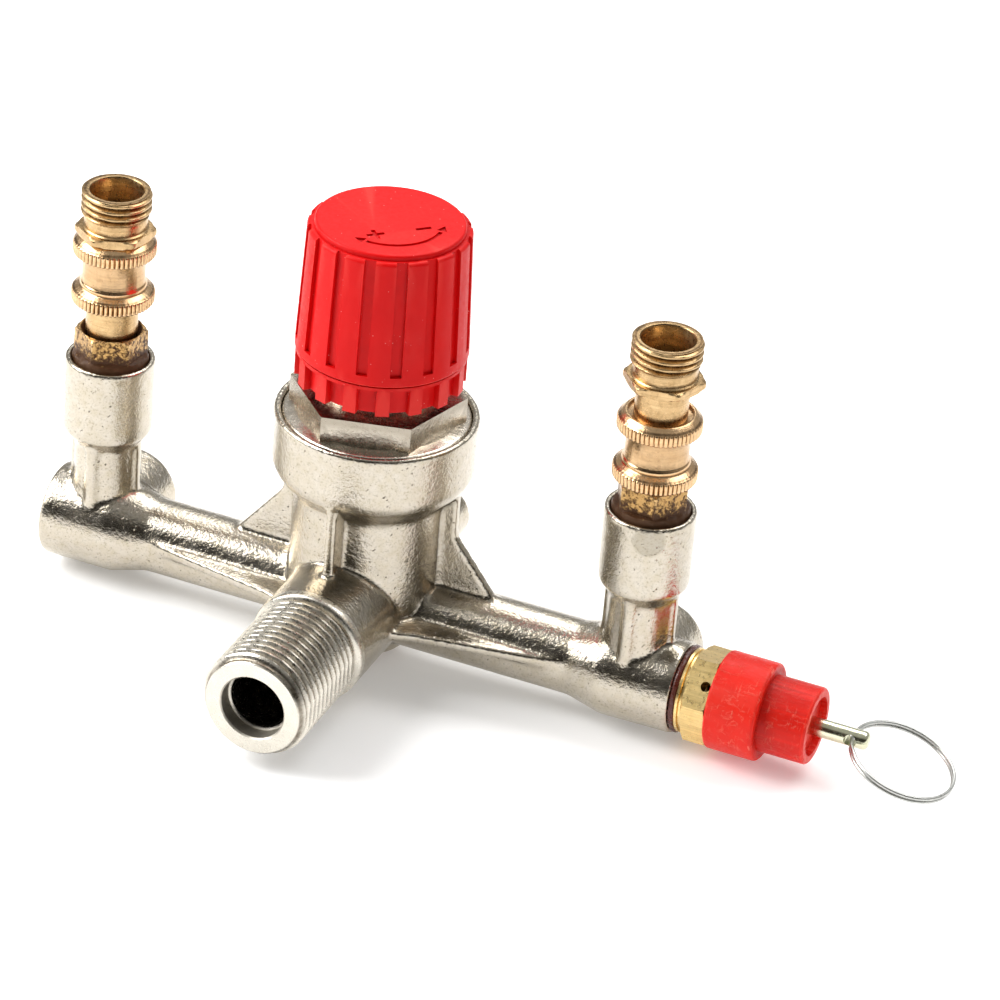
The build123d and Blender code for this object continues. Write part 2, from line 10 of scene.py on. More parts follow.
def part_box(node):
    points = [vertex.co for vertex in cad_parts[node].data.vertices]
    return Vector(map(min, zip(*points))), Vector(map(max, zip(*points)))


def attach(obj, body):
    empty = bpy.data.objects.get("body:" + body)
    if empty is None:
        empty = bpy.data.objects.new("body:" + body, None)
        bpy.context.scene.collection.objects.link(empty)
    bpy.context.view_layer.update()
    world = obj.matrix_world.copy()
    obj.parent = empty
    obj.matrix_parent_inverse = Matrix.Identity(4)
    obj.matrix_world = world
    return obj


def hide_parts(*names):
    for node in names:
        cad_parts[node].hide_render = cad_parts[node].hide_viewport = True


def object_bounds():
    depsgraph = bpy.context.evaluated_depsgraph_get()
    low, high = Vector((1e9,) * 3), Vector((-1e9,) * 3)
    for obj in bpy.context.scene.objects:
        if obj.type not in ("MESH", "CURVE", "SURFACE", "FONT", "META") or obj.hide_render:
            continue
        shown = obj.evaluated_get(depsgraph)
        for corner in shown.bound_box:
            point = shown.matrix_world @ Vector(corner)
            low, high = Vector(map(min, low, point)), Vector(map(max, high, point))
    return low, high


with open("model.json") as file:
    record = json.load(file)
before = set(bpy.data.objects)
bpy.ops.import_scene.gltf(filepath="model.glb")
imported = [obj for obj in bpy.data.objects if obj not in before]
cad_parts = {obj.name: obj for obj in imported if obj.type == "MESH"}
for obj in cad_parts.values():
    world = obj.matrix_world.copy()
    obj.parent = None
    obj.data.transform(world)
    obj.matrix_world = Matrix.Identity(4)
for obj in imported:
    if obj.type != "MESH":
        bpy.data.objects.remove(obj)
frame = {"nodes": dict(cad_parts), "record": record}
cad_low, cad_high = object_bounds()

MM = 0.001
TAU = 2 * math.pi
scene = bpy.context.scene
nodes_of = frame["nodes"]


# ---------------------------------------------------------------- places read from the frame
def span(node, axis):
    """A node's low and high ends along one axis, in millimetres."""
    low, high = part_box(node)
    return low[axis] / MM, high[axis] / MM


mounts = {m["name"]: m for m in frame["record"]["mounts"]}
TUBE_Z = mounts["end_port"]["pos_m"][2] / MM
INLET_Z = mounts["inlet"]["pos_m"][2] / MM
POST_X = mounts["right_outlet"]["pos_m"][0] / MM
INLET_R = mounts["inlet"]["dims"]["r_mm"]
OUTLET_R = mounts["right_outlet"]["dims"]["r_mm"]
INLET_END = -span("manifold_casting", 1)[0]

G12_PITCH, G12_ROOT = 1.814, 9.42       # inlet thread, in millimetres
G14_PITCH, G14_ROOT = 1.337, 5.80       # outlet threads


# ---------------------------------------------------------------- node materials
class Nodes:
    """A small builder for one material's node tree. Lengths in the patterns are millimetres."""

    def __init__(self, name):
        self.mat = bpy.data.materials.new(name)
        self.mat.use_nodes = True
        self.tree = self.mat.node_tree
        self.bsdf = self.tree.nodes["Principled BSDF"]
        self.coords = self.add("ShaderNodeTexCoord").outputs["Object"]
        self.mm = self.mapping(1000)

    def add(self, kind, **settings):
        node = self.tree.nodes.new(kind)
        for key, value in settings.items():
            setattr(node, key, value)
        return node

    def link(self, a, b):
        self.tree.links.new(a, b)

    def mapping(self, scale, turn=(0, 0, 0)):
        node = self.add("ShaderNodeMapping")
        node.inputs["Scale"].default_value = (
            scale if isinstance(scale, tuple) else (scale,) * 3
        )
        node.inputs["Rotation"].default_value = turn
        self.link(self.coords, node.inputs["Vector"])
        return node.outputs[0]

    def noise(self, scale, detail=4.0, rough=0.55, distortion=0.0, vector=None):
        node = self.add("ShaderNodeTexNoise")
        self.link(vector or self.mm, node.inputs["Vector"])
        node.inputs["Scale"].default_value = scale
        node.inputs["Detail"].default_value = detail
        node.inputs["Roughness"].default_value = rough
        node.inputs["Distortion"].default_value = distortion
        return node.outputs["Fac"]

    def cells(self, scale, vector=None):
        node = self.add("ShaderNodeTexVoronoi")
        self.link(vector or self.mm, node.inputs["Vector"])
        node.inputs["Scale"].default_value = scale
        return node.outputs["Distance"]

    def ramp(self, value, *stops, scale=1.0):
        """Colour stops along a value; scale is the value at the ramp's far end."""
        if scale != 1.0:
            value = self.math("DIVIDE", value, scale)
        node = self.add("ShaderNodeValToRGB")
        ramp = node.color_ramp
        while len(ramp.elements) < len(stops):
            ramp.elements.new(0.5)
        for element, (place, colour) in zip(ramp.elements, stops):
            element.position = place / scale
            if not isinstance(colour, tuple):
                colour = (colour,) * 3
            element.color = (*colour, 1)
        self.link(value, node.inputs["Fac"])
        return node.outputs["Color"]

    def mix(self, factor, a, b, blend="MIX"):
        node = self.add("ShaderNodeMix", data_type="RGBA", blend_type=blend)
        for value, socket in (
            (factor, node.inputs["Factor"]),
            (a, node.inputs[6]),
            (b, node.inputs[7]),
        ):
            if isinstance(value, tuple):
                socket.default_value = (*value, 1)
            elif isinstance(value, (int, float)):
                socket.default_value = value
            else:
                self.link(value, socket)
        return node.outputs[2]

    def math(self, operation, a, b=0.0):
        node = self.add("ShaderNodeMath", operation=operation)
        for value, socket in ((a, node.inputs[0]), (b, node.inputs[1])):
            if isinstance(value, (int, float)):
                socket.default_value = value
            else:
                self.link(value, socket)
        return node.outputs[0]

    def edge(self, low, high):
        """White on sharp outer edges."""
        geometry = self.add("ShaderNodeNewGeometry")
        return self.ramp(geometry.outputs["Pointiness"], (low, 0.0), (high, 1.0))

    def cavity(self, low=0.44, high=0.495):
        """White in tight inner corners."""
        geometry = self.add("ShaderNodeNewGeometry")
        return self.ramp(geometry.outputs["Pointiness"], (low, 1.0), (high, 0.0))

    def split(self):
        """The object's own x, y and z in millimetres."""
        node = self.add("ShaderNodeSeparateXYZ")
        self.link(self.mm, node.inputs[0])
        return node.outputs

    def distance(self, point):
        """Millimetres from a point."""
        node = self.add("ShaderNodeVectorMath", operation="DISTANCE")
        self.link(self.mm, node.inputs[0])
        node.inputs[1].default_value = point
        return node.outputs["Value"]

    def from_axis(self, point, keep, mirror=False):
        """Millimetres from a straight axis; keep is 0 along the axis, mirror folds x."""
        vector = self.mm
        if mirror:
            fold = self.add("ShaderNodeVectorMath", operation="ABSOLUTE")
            self.link(vector, fold.inputs[0])
            vector = fold.outputs[0]
        away = self.add("ShaderNodeVectorMath", operation="SUBTRACT")
        self.link(vector, away.inputs[0])
        away.inputs[1].default_value = point
        flat = self.add("ShaderNodeVectorMath", operation="MULTIPLY")
        self.link(away.outputs[0], flat.inputs[0])
        flat.inputs[1].default_value = keep
        length = self.add("ShaderNodeVectorMath", operation="LENGTH")
        self.link(flat.outputs[0], length.inputs[0])
        return length.outputs["Value"]

    def bump(self, *layers):
        """Stack (height, strength, distance in mm) layers into one normal."""
        last = None
        for value, strength, distance in layers:
            node = self.add("ShaderNodeBump")
            node.inputs["Strength"].default_value = strength
            node.inputs["Distance"].default_value = distance * MM
            self.link(value, node.inputs["Height"])
            if last is not None:
                self.link(last, node.inputs["Normal"])
            last = node.outputs[0]
        self.link(last, self.bsdf.inputs["Normal"])

    def set(self, **values):
        for key, value in values.items():
            socket = self.bsdf.inputs[key.replace("_", " ")]
            if isinstance(value, (int, float)):
                socket.default_value = value
            elif isinstance(value, tuple):
                socket.default_value = (*value, 1)
            else:
                self.link(value, socket)
        return self.mat


def nickel():
    """Plated die casting: glossy over a grainy skin, small pits, painted shade and soiling in the
    corners.
    """
    n = Nodes("nickel_casting")
    grain = n.noise(1.5, 3, 0.60)
    lumps = n.noise(0.55, 3, 0.5)
    tone = n.mix(n.noise(0.10, 4), (0.47, 0.42, 0.34), (0.58, 0.54, 0.475))
    tone = n.mix(n.ramp(lumps, (0.35, 0.0), (0.72, 0.5)), tone, (0.44, 0.38, 0.265))
    freckle = n.ramp(n.noise(2.1, 5, 0.78), (0.53, 0.0), (0.64, 1.0))
    tone = n.mix(n.math("MULTIPLY", freckle, 0.55), tone, (0.20, 0.165, 0.11))
    swirled = n.add("ShaderNodeVectorMath", operation="ADD")
    n.link(n.mm, swirled.inputs[0])
    n.link(n.mix(1.0, n.noise(0.8, 3), (1.6, 1.1, 2.1), "MULTIPLY"), swirled.inputs[1])
    pits = n.ramp(n.cells(1.0, swirled.outputs[0]), (0.07, 1.0), (0.19, 0.0))
    rare = n.ramp(n.noise(0.40, 4, 0.7), (0.50, 0.0), (0.60, 1.0))
    pits = n.mix(1.0, pits, rare, "MULTIPLY")
    tone = n.mix(n.math("MULTIPLY", pits, 0.85), tone, (0.07, 0.055, 0.04))
    # painted shade and soiling: tight inner corners darkened, unevenly
    shade_and_grime = n.math("MULTIPLY", n.cavity(0.43, 0.493), n.ramp(lumps, (0.25, 0.5), (0.6, 1.0)))
    tone = n.mix(n.math("MULTIPLY", shade_and_grime, 0.85), tone, (0.09, 0.07, 0.045))
    mark = n.distance((POST_X + 3.0, -7.9, 43.9))        # a round stain on the right cup
    mark = n.math("ADD", mark, n.math("MULTIPLY", lumps, 0.9))
    tone = n.mix(n.ramp(mark, (3.2, 0.42), (3.8, 0.0), scale=10), tone, (0.20, 0.175, 0.125))
    rim = n.ramp(mark, (3.1, 0.0), (3.45, 1.0), (3.8, 0.0), scale=10)
    rough = n.ramp(n.noise(0.30, 5, 0.65), (0.3, 0.15), (0.7, 0.26))
    n.bump(
        (n.noise(0.14, 2, 0.5), 0.08, 1.0),
        (lumps, 0.10, 0.35),
        (grain, 0.68, 0.16),
        (n.math("SUBTRACT", 1.0, pits), 0.8, 0.18),
        (rim, 0.60, 0.08),
    )
    return n.set(Base_Color=tone, Metallic=1.0, Roughness=rough)


def machined_nickel():
    """The same plate over turned surfaces: the inlet's thread and faces."""
    n = Nodes("nickel_machined")
    tone = n.mix(n.noise(0.6, 4), (0.58, 0.54, 0.46), (0.74, 0.70, 0.62))
    from_axis = n.from_axis((0, 0, INLET_Z), (1, 0, 1))
    groove = n.ramp(
        from_axis, (9.2, 0.0), (9.4, 1.0), (9.7, 0.85), (10.0, 0.2), (10.3, 0.0), scale=20
    )
    uneven = n.ramp(n.noise(0.35, 4, 0.7), (0.35, 0.55), (0.6, 0.95))
    tone = n.mix(n.math("MULTIPLY", groove, uneven), tone, (0.10, 0.075, 0.045))
    # painted shade: the bore darkened deep inside (deep), and the counterbore wall dulled a little
    # darker (mouth)
    deep = n.ramp(from_axis, (5.8, 1.0), (6.0, 0.0), scale=20)
    tone = n.mix(n.math("MULTIPLY", deep, 0.7), tone, (0.09, 0.08, 0.07))
    mouth = n.ramp(from_axis, (6.0, 0.0), (6.1, 1.0), (6.3, 1.0), (6.5, 0.0), scale=20)
    tone = n.mix(n.math("MULTIPLY", mouth, 0.5), tone, (0.42, 0.39, 0.33))
    rough = n.ramp(n.noise(1.2, 4), (0.3, 0.22), (0.7, 0.36))
    rough = n.mix(mouth, rough, (0.5, 0.5, 0.5))
    n.bump((n.noise(1.9, 5, 0.65), 0.45, 0.10), (n.noise(5.0, 3), 0.20, 0.03))
    return n.set(Base_Color=tone, Metallic=1.0, Roughness=rough)


def chrome():
    """Spun bonnet: the same plate, smoother, brushed round and dulled by handling."""
    n = Nodes("chrome_plate")
    tone = n.mix(n.noise(0.3, 4), (0.56, 0.50, 0.41), (0.72, 0.66, 0.57))
    # painted shade in tight inner corners
    tone = n.mix(n.math("MULTIPLY", n.cavity(), 0.6), tone, (0.16, 0.13, 0.09))
    rough = n.ramp(n.noise(0.8, 5, 0.7), (0.35, 0.20), (0.75, 0.34))
    scratch = n.noise(1.0, 2, 0.5, vector=n.mapping((300, 2600, 900)))
    n.bump((n.noise(0.30, 2), 0.20, 0.6), (scratch, 0.12, 0.03), (n.noise(1.8, 4, 0.6), 0.5, 0.10))
    return n.set(Base_Color=tone, Metallic=1.0, Roughness=rough)


def brass(name, light, dark, rough_low, rough_high, shade_and_dirt, grain=0.25, worn=0.5, ring=None):
    """Machined brass: turning grain, dull patches, painted shade and soiling in the corners.

    ring: (low radius, high radius, from this height up) of dirty grooves round a valve's axis.
    """
    n = Nodes(name)
    tone = n.mix(n.noise(0.5, 5, 0.6), dark, light)
    patch = n.ramp(n.noise(0.9, 6, 0.75), (0.50, 0.0), (0.68, 1.0))
    tone = n.mix(n.math("MULTIPLY", patch, worn), tone, tuple(v * 0.45 for v in dark))
    # painted shade and soiling: tight inner corners darkened brown
    tone = n.mix(n.math("MULTIPLY", n.cavity(0.42, 0.49), shade_and_dirt), tone, (0.07, 0.035, 0.012))
    if ring:
        low, high, above = ring
        from_axis = n.from_axis((POST_X, 0, 0), (1, 1, 0), mirror=True)
        inside = n.ramp(
            from_axis, (low - 0.2, 0.0), (low, 1.0), ((low + high) / 2, 0.8), (high, 0.0), scale=20
        )
        level = n.ramp(n.split()[2], (above, 0.0), (above + 0.6, 1.0), scale=100)
        uneven = n.ramp(n.noise(0.45, 4, 0.7), (0.38, 0.55), (0.56, 1.0))
        inside = n.math("MULTIPLY", n.math("MULTIPLY", inside, level), uneven)
        tone = n.mix(n.math("MULTIPLY", inside, 0.9), tone, (0.085, 0.04, 0.016))
    turned = n.noise(1.0, 3, 0.6, vector=n.mapping((60, 60, 2600)))
    tone = n.mix(n.ramp(turned, (0.42, 0.0), (0.62, 0.30)), tone, tuple(v * 0.5 for v in dark))
    rough = n.ramp(n.noise(1.4, 4), (0.3, rough_low), (0.7, rough_high))
    n.bump((turned, grain, 0.06), (n.noise(2.6, 5, 0.65), 0.34, 0.07))
    return n.set(Base_Color=tone, Metallic=1.0, Roughness=rough)


def stained_brass():
    """Lower adaptors: brown brass, with thread sealant in the well and thick round the foot."""
    n = Nodes("stained_brass")
    height = n.split()[2]
    climb = n.ramp(height, (46.4, 0.34), (48.4, 0.10), (50.6, 0.0), scale=100)
    smear = n.math("ADD", n.noise(1.1, 6, 0.72, 0.3), climb)
    crust = n.ramp(smear, (0.50, 0.0), (0.60, 1.0))
    from_axis = n.from_axis((POST_X, 0, 0), (1, 1, 0), mirror=True)
    well = n.ramp(from_axis, (5.55, 1.0), (5.85, 0.0), scale=20)
    crust = n.math("MAXIMUM", crust, well)
    tone = n.mix(n.noise(1.6, 6, 0.7), (0.24, 0.125, 0.04), (0.62, 0.39, 0.155))
    tone = n.mix(n.math("MULTIPLY", n.edge(0.51, 0.56), 0.6), tone, (0.78, 0.56, 0.30))
    tone = n.mix(n.math("MULTIPLY", crust, 0.92), tone, (0.040, 0.011, 0.005))
    metal = n.ramp(crust, (0.2, 1.0), (0.9, 0.1))
    rough = n.ramp(crust, (0.1, 0.26), (0.9, 0.44))
    n.bump((crust, 0.4, 0.14), (n.noise(2.2, 6, 0.7), 0.50, 0.12))
    return n.set(Base_Color=tone, Metallic=metal, Roughness=rough, Specular_IOR_Level=0.2)


def red_plastic():
    """Moulded knob: even red with a few pale specks of dust."""
    n = Nodes("red_plastic")
    tone = n.mix(n.noise(0.15, 3), (0.58, 0.0022, 0.0028), (0.70, 0.0045, 0.0045))
    dust = n.ramp(n.cells(0.9), (0.05, 1.0), (0.11, 0.0))
    some = n.ramp(n.noise(0.5, 2), (0.52, 0.0), (0.58, 1.0))
    specks = n.mix(1.0, dust, some, "MULTIPLY")
    tone = n.mix(n.math("MULTIPLY", specks, 0.7), tone, (0.88, 0.45, 0.42))
    # painted highlight: brighter red on sharp edges
    tone = n.mix(n.math("MULTIPLY", n.edge(0.515, 0.60), 0.30), tone, (0.88, 0.08, 0.06))
    # painted shade in tight inner corners
    tone = n.mix(n.math("MULTIPLY", n.cavity(0.42, 0.49), 0.5), tone, (0.20, 0.003, 0.005))
    rough = n.ramp(n.noise(1.2, 4), (0.3, 0.36), (0.7, 0.50))
    n.bump((n.noise(0.25, 2), 0.14, 0.4), (n.noise(3.5, 5), 0.25, 0.04), (specks, 0.3, 0.05))
    return n.set(Base_Color=tone, Roughness=rough, Specular_IOR_Level=0.14)


def scuffed_cap():
    """Softer red cap, scratched slantwise and rubbed pale along its edges."""
    n = Nodes("red_cap")
    scratch_a = n.noise(1.0, 3, 0.6, 1.0, vector=n.mapping((420, 1900, 420), (0.5, 0.3, 0.6)))
    scratch_b = n.noise(1.0, 3, 0.6, 0.6, vector=n.mapping((2300, 330, 500), (0.2, 0.5, 0.7)))
    lines = n.ramp(scratch_a, (0.57, 0.0), (0.61, 1.0), (0.65, 0.0))
    marks = n.ramp(scratch_b, (0.60, 0.0), (0.66, 1.0))
    where = n.ramp(n.noise(0.20, 3), (0.40, 0.0), (0.55, 1.0))
    scuff = n.mix(1.0, n.mix(1.0, lines, marks, "ADD"), where, "MULTIPLY")
    tone = n.mix(n.noise(0.3, 3), (0.64, 0.008, 0.003), (0.82, 0.018, 0.006))
    tone = n.mix(n.math("MULTIPLY", scuff, 0.34), tone, (0.92, 0.20, 0.13))
    tone = n.mix(n.math("MULTIPLY", n.edge(0.51, 0.57), 0.55), tone, (0.94, 0.22, 0.16))
    # painted shade in tight inner corners
    tone = n.mix(n.math("MULTIPLY", n.cavity(0.42, 0.49), 0.7), tone, (0.16, 0.003, 0.003))
    rough = n.ramp(n.noise(0.9, 5), (0.3, 0.34), (0.7, 0.52))
    n.bump((scratch_a, 0.45, 0.12), (n.noise(1.3, 5), 0.40, 0.12), (scuff, 0.50, 0.08))
    return n.set(Base_Color=tone, Roughness=rough, Specular_IOR_Level=0.2)


def zinc():
    """Yellowish plated steel, drawn along the stem."""
    n = Nodes("zinc_steel")
    tone = n.mix(n.noise(0.5, 4), (0.58, 0.58, 0.37), (0.78, 0.78, 0.62))
    # painted shade in tight inner corners
    tone = n.mix(n.math("MULTIPLY", n.cavity(), 0.6), tone, (0.14, 0.12, 0.07))
    drawn = n.noise(1.0, 3, 0.6, vector=n.mapping((90, 3500, 3500)))
    rough = n.ramp(n.noise(1.1, 4), (0.3, 0.14), (0.7, 0.26))
    n.bump((drawn, 0.10, 0.03), (n.noise(1.6, 4), 0.20, 0.06))
    return n.set(Base_Color=tone, Metallic=1.0, Roughness=rough)


def wire():
    """Bright spring wire."""
    n = Nodes("spring_steel")
    tone = n.mix(n.noise(0.35, 4), (0.42, 0.43, 0.41), (0.62, 0.62, 0.59))
    rough = n.ramp(n.noise(0.8, 4), (0.3, 0.24), (0.7, 0.36))
    n.bump((n.noise(0.9, 3), 0.06, 0.03))
    return n.set(Base_Color=tone, Metallic=1.0, Roughness=rough)


def rubber():
    """Black seals, dull and a little uneven."""
    n = Nodes("black_rubber")
    tone = n.mix(n.noise(0.6, 4), (0.012, 0.012, 0.013), (0.04, 0.038, 0.036))
    rough = n.ramp(n.noise(1.5, 4), (0.3, 0.42), (0.7, 0.65))
    n.bump((n.noise(2.5, 5), 0.2, 0.05), (n.noise(9.0, 2), 0.1, 0.01))
    return n.set(Base_Color=tone, Roughness=rough, Specular_IOR_Level=0.4)


def sealant():
    """Dark red-brown thread sealant, set glossy."""
    n = Nodes("sealant")
    tone = n.mix(n.noise(0.6, 5, 0.7), (0.014, 0.004, 0.003), (0.15, 0.024, 0.010))
    rough = n.ramp(n.noise(1.5, 4), (0.3, 0.16), (0.7, 0.34))
    n.bump((n.noise(0.7, 5, 0.7, 0.5), 0.6, 0.30), (n.noise(3.0, 4), 0.3, 0.06))
    return n.set(Base_Color=tone, Roughness=rough)


YELLOW = ((0.72, 0.515, 0.28), (0.44, 0.27, 0.115))
BRIGHT = ((0.98, 0.76, 0.36), (0.84, 0.59, 0.23))
ROSE = ((0.82, 0.575, 0.34), (0.66, 0.41, 0.20))
look = {
    "nickel_casting": nickel(),
    "nickel_machined": machined_nickel(),
    "chrome": chrome(),
    "brass": brass("yellow_brass", *YELLOW, 0.22, 0.38, 0.7, 0.25, ring=(5.75, 6.25, 76.0)),
    "hex_brass": brass("bright_brass", *BRIGHT, 0.24, 0.38, 0.9, 0.1, worn=0.2),
    "polished_brass": brass(
        "rose_brass", *ROSE, 0.15, 0.30, 0.9, 0.45, worn=0.4, ring=(7.30, 7.62, 50.0)
    ),
    "stained_brass": stained_brass(),
    "zinc_steel": zinc(),
    "spring_steel": wire(),
    "red_plastic": red_plastic(),
    "red_cap": scuffed_cap(),
    "black_rubber": rubber(),
    "sealant": sealant(),
}


# ---------------------------------------------------------------- mesh helpers
AXES = {
    "+Z": (Vector((1, 0, 0)), Vector((0, 1, 0)), Vector((0, 0, 1))),
    "+X": (Vector((0, 1, 0)), Vector((0, 0, 1)), Vector((1, 0, 0))),
    "-Y": (Vector((1, 0, 0)), Vector((0, 0, 1)), Vector((0, -1, 0))),
}


def round_edges(piece, width, angle):
    """A narrow bevel, width in millimetres, on edges sharper than angle in degrees."""
    modifier = piece.modifiers.new("edges", "BEVEL")
    modifier.width = width * MM
    modifier.segments = 2
    modifier.limit_method = "ANGLE"
    modifier.angle_limit = math.radians(angle)
    modifier.harden_normals = True


def finish_piece(name, mesh, body, material, stands_for, angle, bevel=0.0):
    """Make a visual piece: its material, smooth faces and body; the nodes it stands for are hidden.
    """
    mesh.name = name
    piece = bpy.data.objects.new(name, mesh)
    scene.collection.objects.link(piece)
    mesh.materials.clear()
    mesh.materials.append(look[material])
    for polygon in mesh.polygons:
        polygon.use_smooth = True
    mesh.set_sharp_from_angle(angle=math.radians(angle))
    if bevel:
        round_edges(piece, bevel, angle)
    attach(piece, body)
    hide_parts(*stands_for)


def built_mesh(points, faces, weld=0.0):
    """A mesh with its normals outwards; weld is the joining distance in millimetres."""
    mesh = bpy.data.meshes.new("skin")
    mesh.from_pydata(points, [], faces)
    bm = bmesh.new()
    bm.from_mesh(mesh)
    if weld:
        bmesh.ops.remove_doubles(bm, verts=bm.verts, dist=weld * MM)
    bmesh.ops.recalc_face_normals(bm, faces=bm.faces)
    bm.to_mesh(mesh)
    bm.free()
    return mesh


def field(rows, columns, shape, origin, along="+Z", spin=0.0):
    """An open turned skin from rows of (radius, distance), in millimetres.

    shape(row index, radius, distance, angle) can give back another radius and distance.
    """
    side, other, axis = AXES[along]
    origin = Vector(origin)
    points = []
    for index, (r, d) in enumerate(rows):
        for k in range(columns):
            a = spin + TAU * k / columns
            rr, dd = shape(index, r, d, a) if shape else (r, d)
            place = origin + axis * dd + (side * math.cos(a) + other * math.sin(a)) * rr
            points.append(tuple(place * MM))
    faces = []
    for i in range(len(rows) - 1):
        here, above = i * columns, (i + 1) * columns
        for k in range(columns):
            m = (k + 1) % columns
            faces.append((here + k, here + m, above + m, above + k))
    return built_mesh(points, faces, weld=0.002)


def hexagon(flats, angle, corner_at):
    """Radius of a hexagon's outline at an angle, with one corner at corner_at."""
    turn = (angle - corner_at) % (TAU / 6) - TAU / 12
    return flats / 2 / math.cos(turn)


def joined(*meshes):
    """One mesh from several."""
    bm = bmesh.new()
    for mesh in meshes:
        bm.from_mesh(mesh)
    out = bpy.data.meshes.new("joined")
    bm.to_mesh(out)
    bm.free()
    return out


def v_thread(phase, crest, root=0.08):
    """0 at the root and 1 at the crest of a V thread, for a phase in turns."""
    p = abs((phase % 1.0) * 2 - 1)          # 0 at the crest's middle, 1 at the root's middle
    return 1 - min(1.0, max(0.0, (p - crest) / (1 - crest - root)))


def wobble(point, scale, seed):
    """Smooth noise from -1 to 1 that wears and dents the turned skins."""
    return noise.noise(Vector(point) * scale + Vector((seed, seed * 1.7, seed * 0.3)))


# ---------------------------------------------------------------- casting skin
def neighbour_mean(points, edges):
    """Mean of each vertex's neighbours."""
    count = np.bincount(edges.ravel(), minlength=len(points)).astype(float)
    total = np.empty_like(points)
    for axis in range(3):
        both = np.bincount(edges[:, 0], points[edges[:, 1], axis], len(points))
        both += np.bincount(edges[:, 1], points[edges[:, 0], axis], len(points))
        total[:, axis] = both
    return total / np.maximum(count, 1)[:, None]


SKIN_VOXEL = 0.45
SPIGOT_CUT = 25.2       # the turned spigot takes over from the cast skin here, along -Y


def casting_skin():
    """The casting with soft moulded corners: a voxel skin of the CAD solid, then relaxed.

    soft says how much each place is relaxed. Faces that lie hidden inside are deleted.
    """
    source = nodes_of["manifold_casting"]
    rough = bpy.data.objects.new("rough_skin", source.data.copy())
    scene.collection.objects.link(rough)
    remesh = rough.modifiers.new("voxels", "REMESH")
    remesh.mode = "VOXEL"
    remesh.voxel_size = SKIN_VOXEL * MM
    graph = bpy.context.evaluated_depsgraph_get()
    mesh = bpy.data.meshes.new_from_object(rough.evaluated_get(graph))
    bpy.data.objects.remove(rough)
    count = len(mesh.vertices)
    points = np.empty(count * 3)
    mesh.vertices.foreach_get("co", points)
    points = points.reshape(-1, 3) / MM
    edges = np.empty(len(mesh.edges) * 2, np.int64)
    mesh.edges.foreach_get("vertices", edges)
    edges = edges.reshape(-1, 2)
    x, y, z = points.T
    soft = np.ones(count)
    post = np.abs(np.abs(x) - POST_X) < 10
    soft[post & (z > 43.5) & (np.abs(y) < 10)] = 0.25      # machined cup rims
    soft[(np.hypot(x, y) < 19.5) & (z > 47.0)] = 0.25      # machined body rim
    soft[post & (y > 12.8)] = 0.35                         # gauge port faces
    soft[np.abs(x) > 62.6] = 0.4                           # tube ends
    soft[z < 3.2] = 0.35                                   # underside face
    soft[y < -SPIGOT_CUT + 1.5] = 0.0
    for _ in range(7):
        points += (neighbour_mean(points, edges) - points) * (0.5 * soft)[:, None]
    mesh.vertices.foreach_set("co", (points * MM).ravel())
    bm = bmesh.new()
    bm.from_mesh(mesh)
    gone = []
    for face in bm.faces:
        c = face.calc_center_median() / MM
        in_tube = math.hypot(c.y, c.z - TUBE_Z) < 5.6 and 6 < abs(c.x) < POST_X - 2
        in_body = math.hypot(c.x, c.y) < 13.3 and 12.0 < c.z < 42.5
        spigot = c.y < -SPIGOT_CUT
        in_post = math.hypot(abs(c.x) - POST_X, c.y) < 3.6 and 18 < c.z < 40
        if spigot or in_tube or in_body or in_post:
            gone.append(face)
    bmesh.ops.delete(bm, geom=gone, context="FACES")
    bm.to_mesh(mesh)
    bm.free()
    finish_piece(
        "casting_skin", mesh, "manifold", "nickel_casting",
        ["manifold_casting"], angle=60,
    )


def inlet_spigot():
    """The turned inlet: counterbore, end face, thread with its moulding flats, and shoulder."""
    crest = INLET_R - 0.03
    first, last = 27.0, 48.35
    flat = 10.2                 # half width across the moulding flats
    step = G12_PITCH / 22
    rows = [(5.75, 17.0), (5.75, INLET_END - 3.4), (6.2, INLET_END - 3.1)]
    rows += [(6.2, INLET_END - 0.25), (6.45, INLET_END)]
    rows += [(9.1, INLET_END), (9.45, INLET_END - 0.35)]
    start = len(rows)
    count = int((last - first) / step)
    rows += [(G12_ROOT, last - i * step) for i in range(count + 1)]
    stop = len(rows)
    rows += [(G12_ROOT + 0.1, 26.75), (G12_ROOT + 0.7, 26.5), (10.75, 26.3), (11.0, 26.0)]
    rows += [(11.12, 25.4), (11.12, 24.6)]

    def shape(index, r, d, a):
        if start <= index < stop:
            fade = min(1.0, (last - d + 0.25) / 1.2, (d - first + 0.5) / 0.9)
            ridge = v_thread(d / G12_PITCH + a / TAU, 0.26)
            r = G12_ROOT + (crest - G12_ROOT) * ridge * fade
            worn = wobble((math.cos(a) * 9, math.sin(a) * 9, d), 0.35, 3.0)
            r = min(r - max(0.0, worn) * 0.05, flat / max(1e-6, abs(math.cos(a))))
        return r, d

    mesh = field(rows, 168, shape, (0, 0, INLET_Z), "-Y")
    finish_piece(
        "inlet_spigot", mesh, "manifold", "nickel_machined",
        ["manifold_casting"], angle=38,
    )


